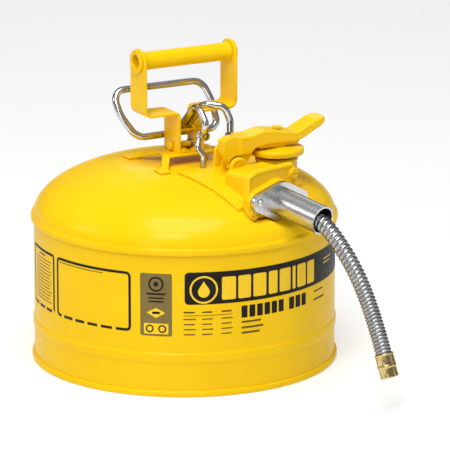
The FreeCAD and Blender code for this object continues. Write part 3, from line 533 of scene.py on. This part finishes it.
def add_castings():
    """Manifold, cover, lever and lid disc, with the soft edges and raised rings of painted castings."""
    pieces = []
    # manifold: a raised ring round the fill neck, both stem towers and the front lug
    extras = [hoop(mm(*LID, 203.5), (0, 0, 1), 19.6 * MM, 1.5 * MM),
              hoop(mm(*POUR, 196.2), (0, 0, 1), 8.0 * MM, 1.1 * MM, 24),
              hoop(mm(*VENT, 212.8), (0, 0, 1), 7.7 * MM, 1.1 * MM, 24),
              hoop(mm(HINGE_X, -80.0, HINGE_Z), (0, 1, 0), 7.2 * MM, 1.0 * MM, 24)]
    pieces.append(soften("manifold_casting", "manifold_cast", "can",
                         voxel=0.7, rounds=11, extras=extras))

    # cover: a raised bead inside the edge and a ring round each screw boss
    edge = [(-35, 169.5), (-35, 204.5), (-24.5, 208.6), (22.5, 207.8), (26.8, 203.0), (26.8, 187.5),
            (6.5, 165.8), (-32, 165.5)]
    extras = [bead([on_plan(s, -3.4, z) for s, z in edge], 1.5 * MM, closed=True)]
    extras += [hoop(on_plan(s, -0.5, z), PLAN_WAY, 4.6 * MM, 0.9 * MM, 24) for s, z in COVER_SCREWS]
    pieces.append(soften("front_cover", "valve_cover_cast", "can",
                         voxel=0.55, rounds=12, extras=extras))

    # lid lever: a skirt over the disc, a ring round the hub and rolled edges along the arm and hub
    skirt = [mm(42, -75.0, 216.8), mm(84, -75.0, 217.4), mm(88, -75.0, 223.5), mm(42, -75.0, 223)]
    arm = [(22, 229.5), (32, 229.8), (47, 233.2), (62, 231.2), (82, 227.7), (102, 236.9)]
    hub_top = [(4, 228), (9, 230.6), (22, 230.2)]
    extras = [slab(skirt, mm(0, 17.5, 0)), hoop(mm(HINGE_X, -76, HINGE_Z), (0, 1, 0), 5.5 * MM, 1.0 * MM, 24)]
    extras += [bead([mm(x, y, z) for x, z in arm], 1.5 * MM) for y in (-76.9, -56.6)]
    extras += [bead([mm(x, y, z) for x, z in hub_top], 1.4 * MM) for y in (-74.2, -64.3)]
    pieces.append(soften("lid_lever", "lid_lever_cast", "lid",
                         voxel=0.55, rounds=9, extras=extras))

    disc = [(0.2, 208.6), (25.2, 208.6), (26.1, 209.0), (26.5, 209.9), (26.5, 213.0), (26.2, 214.0),
            (25.3, 214.6), (22, 214.9), (18, 215.2), (12, 215.6), (9.6, 216.0), (9.0, 216.8), (0.2, 216.8)]
    pieces.append(turned("lid_disc_turned", disc, "lid", "lid_disc", 96, LID))
    return pieces


# ---------------------------------------------------------------- printed panels

def rounded(x0, x1, z0, z1, r, steps=4):
    """The outline of a rectangle with rounded corners."""
    loop = []
    corners = ((x1 - r, z1 - r, 0), (x0 + r, z1 - r, 90), (x0 + r, z0 + r, 180), (x1 - r, z0 + r, 270))
    for cx, cz, start in corners:
        for k in range(steps + 1):
            a = math.radians(start + 90 * k / steps)
            loop.append((cx + r * math.cos(a), cz + r * math.sin(a)))
    return loop


def strip(outer, inner):
    """The band between two outlines with as many points each."""
    count = len(outer)
    return [(outer[k], outer[(k + 1) % count], inner[(k + 1) % count], inner[k]) for k in range(count)]


def block(a0, a1, z0, z1, r):
    """A filled panel between two bearings, degrees, and two heights, mm."""
    return [rounded(a0 * ARC, a1 * ARC, z0, z1, r)]


def border(a0, a1, z0, z1, width, r):
    """An empty frame with rounded corners."""
    x0, x1 = a0 * ARC, a1 * ARC
    inner = rounded(x0 + width, x1 - width, z0 + width, z1 - width, max(r - width, 0.3))
    return strip(rounded(x0, x1, z0, z1, r), inner)


def circle(a, z, r, steps=40):
    """A disc's outline, about a bearing in degrees and a height in mm."""
    turns = [2 * math.pi * k / steps for k in range(steps)]
    return [(a * ARC + r * math.cos(turn), z + r * math.sin(turn)) for turn in turns]


def line(a0, a1, z, width):
    """A thin bar between two bearings."""
    return [rounded(a0 * ARC, a1 * ARC, z - width / 2, z + width / 2, width * 0.3, 1)]


def add_print(name, faces, level):
    """Flat shapes wrapped on the can's wall, as a film 0.1 mm thick."""
    flat = bmesh.new()
    for face in faces:
        flat.faces.new([flat.verts.new((x * MM, z * MM, 0)) for x, z in face])
    bmesh.ops.remove_doubles(flat, verts=flat.verts[:], dist=0.000001)
    low = min(v.co.x for v in flat.verts)
    high = max(v.co.x for v in flat.verts)
    step = ARC * 1.4 * MM
    for k in range(math.ceil(low / step), math.floor(high / step) + 1):
        parts = flat.verts[:] + flat.edges[:] + flat.faces[:]
        bmesh.ops.bisect_plane(flat, geom=parts, dist=0.0000005, plane_co=(k * step, 0, 0),
                               plane_no=(1, 0, 0))
    reach = LABEL_R + level * INK_STEP
    for v in flat.verts:
        a = v.co.x / CAN_R
        v.co = Vector((reach * math.cos(a), reach * math.sin(a), v.co.y))
    mesh = bpy.data.meshes.new(name)
    flat.to_mesh(mesh)
    flat.free()
    piece = new_object(name, mesh)
    film = piece.modifiers.new("film", "SOLIDIFY")
    film.thickness = 0.1 * MM
    film.offset = -1
    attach(piece, "can")
    return piece


def add_prints():
    """Plain panels, blocks and rules that spell nothing: bearings in degrees, heights in mm."""
    black = border(-198.0, -176.2, 62.5, 121, 2.6, 4)
    black += border(-174.4, -138.4, 62.5, 121, 2.6, 5)
    # broken lower edges of the two empty panels
    gaps = []
    for a in (-190.3, -183.6, -177.4, -170.6, -164.2, -158.0, -151.8, -145.4):
        gaps += block(a - 0.75, a + 0.75, 61.8, 65.8, 0.2)
    black += block(-118.2, -30.0, 91, 122.5, 4)
    for k in range(6):
        black += block(-96.7 + 3.2 * k, -94.3 + 3.2 * k, 75.2, 87.0, 0.8)
    for k in range(3):
        black += block(-75.5 + 3.4 * k, -72.9 + 3.4 * k, 75.2, 87.0, 0.8)

    thin = line(-173, -150, 116.4, 0.8) + line(-190, -184, 115.6, 1.6)
    for row in range(13):
        thin += line(-194, -178.6 - 0.7 * (row % 3), 111.4 - 3.35 * row, 0.75)
    for row in range(5):
        z = 81.6 - 5.0 * row if row else 83.4
        for a0, a1 in ((-118.6, -114.4), (-111.8, -108.0), (-104.5, -100.6)):
            thin += line(a0, a1 + (0.4 if row % 2 else 0.0), z, 1.5 if row == 0 else 1.1)
    thin += line(-118.6, -100.3, 80.2, 0.5)
    for z, a1 in ((71, -88.6), (65.5, -87.6), (60.4, -89.2)):
        thin += line(-96.7, a1, z, 1.9)
    thin += line(-60.8, -53.4, 84.4, 1.4) + line(-60.8, -52.4, 76.2, 1.8)

    yellow = []
    for a0, a1 in ((-104.3, -98.9), (-98.0, -92.9), (-91.9, -86.4), (-85.3, -81.3), (-80.3, -74.9),
                   (-73.8, -72.2), (-71.2, -66.3), (-65.3, -60.7)):
        yellow += block(a0, a1, 94.6, 117, 1.6 if a1 - a0 > 2 else 0.9)
    yellow += line(-53, -45, 112, 1.1) + line(-53, -46.5, 108, 1.1)
    yellow += strip(circle(-111.1, 105.3, 13.5), circle(-111.1, 105.3, 11.7))
    yellow += [drop_shape(-111.1 * ARC, 103.4, 5.6, 10.4)]
    return [add_print("print_dark", black, 0), add_print("print_gaps", gaps, 1),
            add_print("print_thin", thin, 0), add_print("print_light", yellow, 1)] + add_badge()


def drop_shape(x, z, r, rise):
    """A plain liquid drop, point up."""
    loop = []
    for k in range(29):
        a = math.radians(145 + 250 * k / 28)
        loop.append((x + r * math.cos(a), z + r * math.sin(a)))
    return loop + [(x + r * 0.28, z + rise * 0.72), (x, z + rise), (x - r * 0.28, z + rise * 0.72)]


def add_badge():
    """The tall dull panel: a dot in a ring, three bars, a lozenge and two rings."""
    middle = -128.8
    olive = block(-134.8, -122.85, 59.8, 121, 2.0)
    dark = strip(circle(middle, 110.6, 7.4, 32), circle(middle, 110.6, 5.6, 32))
    dark += [circle(middle, 110.6, 2.4, 20)]
    for z, half, width in ((101.0, 3.6, 1.9), (97.0, 2.9, 1.5), (93.6, 2.9, 1.5)):
        dark += line(middle - half, middle + half, z, width)
    x = middle * ARC
    light = [[(x - 9, 82.6), (x, 77.6), (x + 9, 82.6), (x, 87.6)]]
    light += block(-133.4, -124.2, 61.8, 72.2, 0.5)
    rings = []
    for a in (-131.2, -126.5):
        rings += strip(circle(a, 67, 3.9, 28), circle(a, 67, 2.5, 28))
    rings += line(x / ARC - 1.5, x / ARC + 1.5, 82.6, 2.4)
    return [add_print("badge_ground", olive, 0), add_print("badge_dark", dark, 1),
            add_print("badge_light", light, 1), add_print("badge_rings", rings, 2)]


# ---------------------------------------------------------------- materials

class Nodes:
    """A small builder for one node material."""

    SPREAD = (0.3, 0.7)       # the part of a noise's range that its values fill

    def __init__(self, name):
        self.material = bpy.data.materials.new(name)
        self.material.use_nodes = True
        self.tree = self.material.node_tree
        self.shader = self.tree.nodes["Principled BSDF"]

    def add(self, kind, **values):
        node = self.tree.nodes.new(kind)
        for key, value in values.items():
            if key in node.inputs.keys():
                node.inputs[key].default_value = value
            else:
                setattr(node, key, value)
        return node

    def link(self, out, to):
        self.tree.links.new(out, to)

    def set(self, **values):
        for key, value in values.items():
            self.shader.inputs[key.replace("_", " ")].default_value = value

    def place(self):
        where = self.add("ShaderNodeTexCoord")
        mapping = self.add("ShaderNodeMapping")
        self.link(where.outputs["Object"], mapping.inputs["Vector"])
        return mapping.outputs["Vector"]

    def noise(self, vector, scale, detail=2.0, roughness=0.5):
        node = self.add("ShaderNodeTexNoise", Scale=scale, Detail=detail, Roughness=roughness)
        self.link(vector, node.inputs["Vector"])
        return node.outputs["Fac"]

    def ramp(self, value, low, high):
        node = self.add("ShaderNodeValToRGB")
        for stop, position, colour in zip(node.color_ramp.elements, self.SPREAD, (low, high)):
            stop.position = position
            stop.color = (*colour, 1)
        self.link(value, node.inputs["Fac"])
        return node.outputs["Color"]

    def span(self, value, low, high):
        node = self.add("ShaderNodeMapRange")
        node.inputs["From Min"].default_value = self.SPREAD[0]
        node.inputs["From Max"].default_value = self.SPREAD[1]
        node.inputs["To Min"].default_value = low
        node.inputs["To Max"].default_value = high
        self.link(value, node.inputs["Value"])
        return node.outputs["Result"]

    def bump(self, height, distance, strength, under=None):
        node = self.add("ShaderNodeBump", Strength=strength, Distance=distance)
        self.link(height, node.inputs["Height"])
        if under is not None:
            self.link(under, node.inputs["Normal"])
        return node.outputs["Normal"]


def paint(name, low, high, roughness, coat, peel):
    """Sprayed enamel: slight colour drift, fine orange peel under a clear gloss."""
    m = Nodes(name)
    where = m.place()
    sheen = m.span(m.noise(where, 45.0, 3.0), roughness * 0.85, roughness * 1.2)
    m.link(m.ramp(m.noise(where, 9.0, 2.0), low, high), m.shader.inputs["Base Color"])
    m.link(sheen, m.shader.inputs["Roughness"])
    wave = m.bump(m.noise(where, 420.0, 1.0), peel, 0.35)
    m.link(m.bump(m.noise(where, 14.0, 1.0), peel * 14, 0.12, wave), m.shader.inputs["Normal"])
    m.link(wave, m.shader.inputs["Coat Normal"])
    m.set(Coat_Weight=coat, Coat_Roughness=0.11, Specular_IOR_Level=0.05, Metallic=0.0)
    return m.material


def plated(name, low, high, rough, grain, bump_mm, edge=0.35):
    """Bare or plated metal with blotches, a fine grain and a darker tint at grazing angles."""
    m = Nodes(name)
    fine = m.noise(m.place(), grain, 4.0, 0.65)
    blotch = m.noise(m.place(), 120.0, 3.0, 0.6)
    m.link(m.ramp(blotch, low, high), m.shader.inputs["Base Color"])
    m.link(m.span(fine, rough[0], rough[1]), m.shader.inputs["Roughness"])
    m.link(m.bump(fine, bump_mm * MM, 0.5), m.shader.inputs["Normal"])
    m.set(Metallic=1.0, Specular_Tint=(edge, edge, edge, 1))
    return m.material


def rubber(name, shade):
    """Dull black rubber with a fine grain."""
    m = Nodes(name)
    where = m.place()
    colour = m.ramp(m.noise(where, 60.0, 3.0), (shade * 0.7,) * 3, (shade * 1.3,) * 3)
    m.link(colour, m.shader.inputs["Base Color"])
    m.link(m.bump(m.noise(where, 900.0, 2.0), 0.0001, 0.4), m.shader.inputs["Normal"])
    m.set(Roughness=0.62)
    return m.material


def ink(name, low, high):
    """Screen-printed label ink, a little duller than the paint round it."""
    roughness = 0.42
    m = Nodes(name)
    where = m.place()
    sheen = m.span(m.noise(where, 260.0, 2.0), roughness * 0.85, roughness * 1.2)
    m.link(m.ramp(m.noise(where, 70.0, 4.0, 0.6), low, high), m.shader.inputs["Base Color"])
    m.link(sheen, m.shader.inputs["Roughness"])
    m.link(m.bump(m.noise(where, 600.0, 1.0), 0.00003, 0.3), m.shader.inputs["Normal"])
    m.set(Specular_IOR_Level=0.12)
    return m.material


def make_materials():
    yellow = (0.92, 0.585, 0.005)
    return {
        "paint": paint("yellow_enamel", (0.87, 0.535, 0.003), yellow,
                       roughness=0.32, coat=0.14, peel=0.00004),
        "cast_paint": paint("yellow_enamel_on_casting", (0.86, 0.53, 0.003), yellow,
                            roughness=0.36, coat=0.24, peel=0.00014),
        "chrome": plated("bright_chrome_wire", (0.58, 0.585, 0.59), (0.72, 0.72, 0.725),
                         rough=(0.08, 0.20), grain=240.0, bump_mm=0.01, edge=0.2),
        "plated": plated("zinc_plated_steel", (0.45, 0.45, 0.45), (0.62, 0.62, 0.61),
                         rough=(0.25, 0.42), grain=300.0, bump_mm=0.01),
        "spring": plated("spring_wire", (0.30, 0.30, 0.30), (0.42, 0.42, 0.42),
                         rough=(0.25, 0.40), grain=300.0, bump_mm=0.01),
        "zinc": plated("brushed_zinc_spout", (0.62, 0.63, 0.64), (0.74, 0.74, 0.75),
                       rough=(0.24, 0.34), grain=420.0, bump_mm=0.004),
        "hose": plated("galvanized_strip", (0.33, 0.335, 0.34), (0.52, 0.52, 0.52),
                       rough=(0.20, 0.36), grain=420.0, bump_mm=0.01, edge=0.2),
        "bolt": plated("bright_zinc_screws", (0.66, 0.67, 0.68), (0.80, 0.80, 0.81),
                       rough=(0.14, 0.24), grain=300.0, bump_mm=0.006),
        "brass": plated("turned_brass", (0.56, 0.42, 0.16), (0.74, 0.58, 0.27),
                        rough=(0.16, 0.32), grain=340.0, bump_mm=0.015),
        "dark_pin": plated("near_black_pin", (0.03, 0.03, 0.03), (0.07, 0.07, 0.07),
                           rough=(0.40, 0.55), grain=300.0, bump_mm=0.006),
        "rubber": rubber("nitrile_rubber", 0.03),
        "black_ink": ink("black_print", (0.010, 0.008, 0.007), (0.020, 0.016, 0.013)),
        "olive_ink": ink("olive_print", (0.185, 0.135, 0.040), (0.225, 0.165, 0.050)),
        "yellow_ink": ink("yellow_print", (0.88, 0.56, 0.02), (0.92, 0.61, 0.03)),
        "faint_ink": ink("thin_print", (0.10, 0.065, 0.015), (0.15, 0.095, 0.02)),
    }


SLOT_MATERIAL = {"yellow_paint": "paint", "chrome_wire": "chrome", "plated_steel": "plated",
                 "spring_steel": "spring", "zinc_plate": "zinc", "galvanized_hose": "hose",
                 "brass_tip": "brass", "black_rubber": "rubber"}
# painted over like the castings, whatever metal or rubber they are
CAST_NODES = ("manifold_gasket", "lid_stud", "cover_screws", "lid_hinge_pin", "trigger_pivot_pin",
              "bracket_rivets", "trigger_yoke", "lid_spring")
INKS = {"print_dark": "black_ink", "print_gaps": "yellow_ink", "print_thin": "faint_ink",
        "print_light": "yellow_ink", "badge_ground": "olive_ink", "badge_dark": "black_ink",
        "badge_light": "yellow_ink", "badge_rings": "black_ink"}


def finish_of(piece, material):
    piece.data.materials.clear()
    piece.data.materials.append(material)


def paint_cad_nodes(materials):
    slots = {part["node"]: part["material_slot"] for part in frame["record"]["subparts"]}
    for name, node in frame["nodes"].items():
        key = "cast_paint" if name in CAST_NODES else SLOT_MATERIAL[slots[name]]
        for spot in node.material_slots:
            spot.material = materials[key]
        if not node.material_slots:
            node.data.materials.append(materials[key])


# ---------------------------------------------------------------- light

def add_lights():
    def area(name, location, target, size, power, tint=(1, 1, 1), height=None):
        data = bpy.data.lights.new(name, "AREA")
        data.shape = "RECTANGLE"
        data.size = size
        data.size_y = height or size
        data.energy = power
        data.color = tint
        lamp = new_object(name, data)
        lamp.location = location
        lamp.rotation_euler = look(location, target)

    area("key", (-1.4, -1.6, 2.4), (0, 0, 0.12), 1.1, 36, (1, 0.985, 0.96), 0.9)
    area("front", (-2.15, -1.55, 0.95), (0, 0, 0.12), 0.7, 6, (1, 0.99, 0.97), 1.0)
    area("fill", (1.9, -1.6, 0.9), (0, 0, 0.1), 0.9, 1.5, (0.97, 0.985, 1.0))
    area("top", (-0.3, -0.5, 2.5), (0, 0, 0.1), 1.5, 43)
    area("rim", (1.2, 1.9, 1.4), (0, 0, 0.12), 1.0, 4)
    area("side", (-2.1, 0.9, 1.3), (0, 0, 0.12), 0.9, 6)

    world = bpy.data.worlds.new("studio")
    bpy.context.scene.world = world
    world.use_nodes = True
    tree = world.node_tree
    back = tree.nodes["Background"]
    where = tree.nodes.new("ShaderNodeTexCoord")
    parts = tree.nodes.new("ShaderNodeSeparateXYZ")
    ramp = tree.nodes.new("ShaderNodeValToRGB")
    ramp.color_ramp.elements[0].position = 0.02
    ramp.color_ramp.elements[0].color = (0.20, 0.20, 0.205, 1)
    ramp.color_ramp.elements[1].position = 0.75
    ramp.color_ramp.elements[1].color = (0.50, 0.50, 0.50, 1)
    tree.links.new(where.outputs["Generated"], parts.inputs["Vector"])
    tree.links.new(parts.outputs["Z"], ramp.inputs["Fac"])
    tree.links.new(ramp.outputs["Color"], back.inputs["Color"])
    back.inputs["Strength"].default_value = 0.55
    bpy.context.scene.view_settings.view_transform = "Standard"


def add_floor():
    floor = new_mesh("floor", [(-9, -9, 0), (9, -9, 0), (9, 9, 0), (-9, 9, 0)], [(0, 1, 2, 3)], smooth=False)
    m = Nodes("floor_white")
    colour = m.ramp(m.noise(m.place(), 1.5), (0.5, 0.5, 0.5), (0.52, 0.52, 0.52))
    m.link(colour, m.shader.inputs["Base Color"])
    m.set(Roughness=0.8, Specular_IOR_Level=0.1, Emission_Color=(1, 1, 1, 1), Emission_Strength=0.50)
    finish_of(floor, m.material)


# ---------------------------------------------------------------- the object

add_camera()
hose, hose_points = add_hose()
nozzle = add_nozzle()

materials = make_materials()
paint_cad_nodes(materials)
finish_of(hose, materials["hose"])
finish_of(nozzle, materials["brass"])
for piece in add_can_body() + [add_dome()] + add_handle():
    finish_of(piece, materials["paint"])
for piece in add_castings():
    finish_of(piece, materials["cast_paint"])
finish_of(add_spout_screws(), materials["bolt"])
finish_of(add_lever_pin(), materials["dark_pin"])
for piece in add_springs():
    finish_of(piece, materials["spring"])
for piece in add_prints():
    finish_of(piece, materials[INKS[piece.name]])
add_floor()
add_lights()
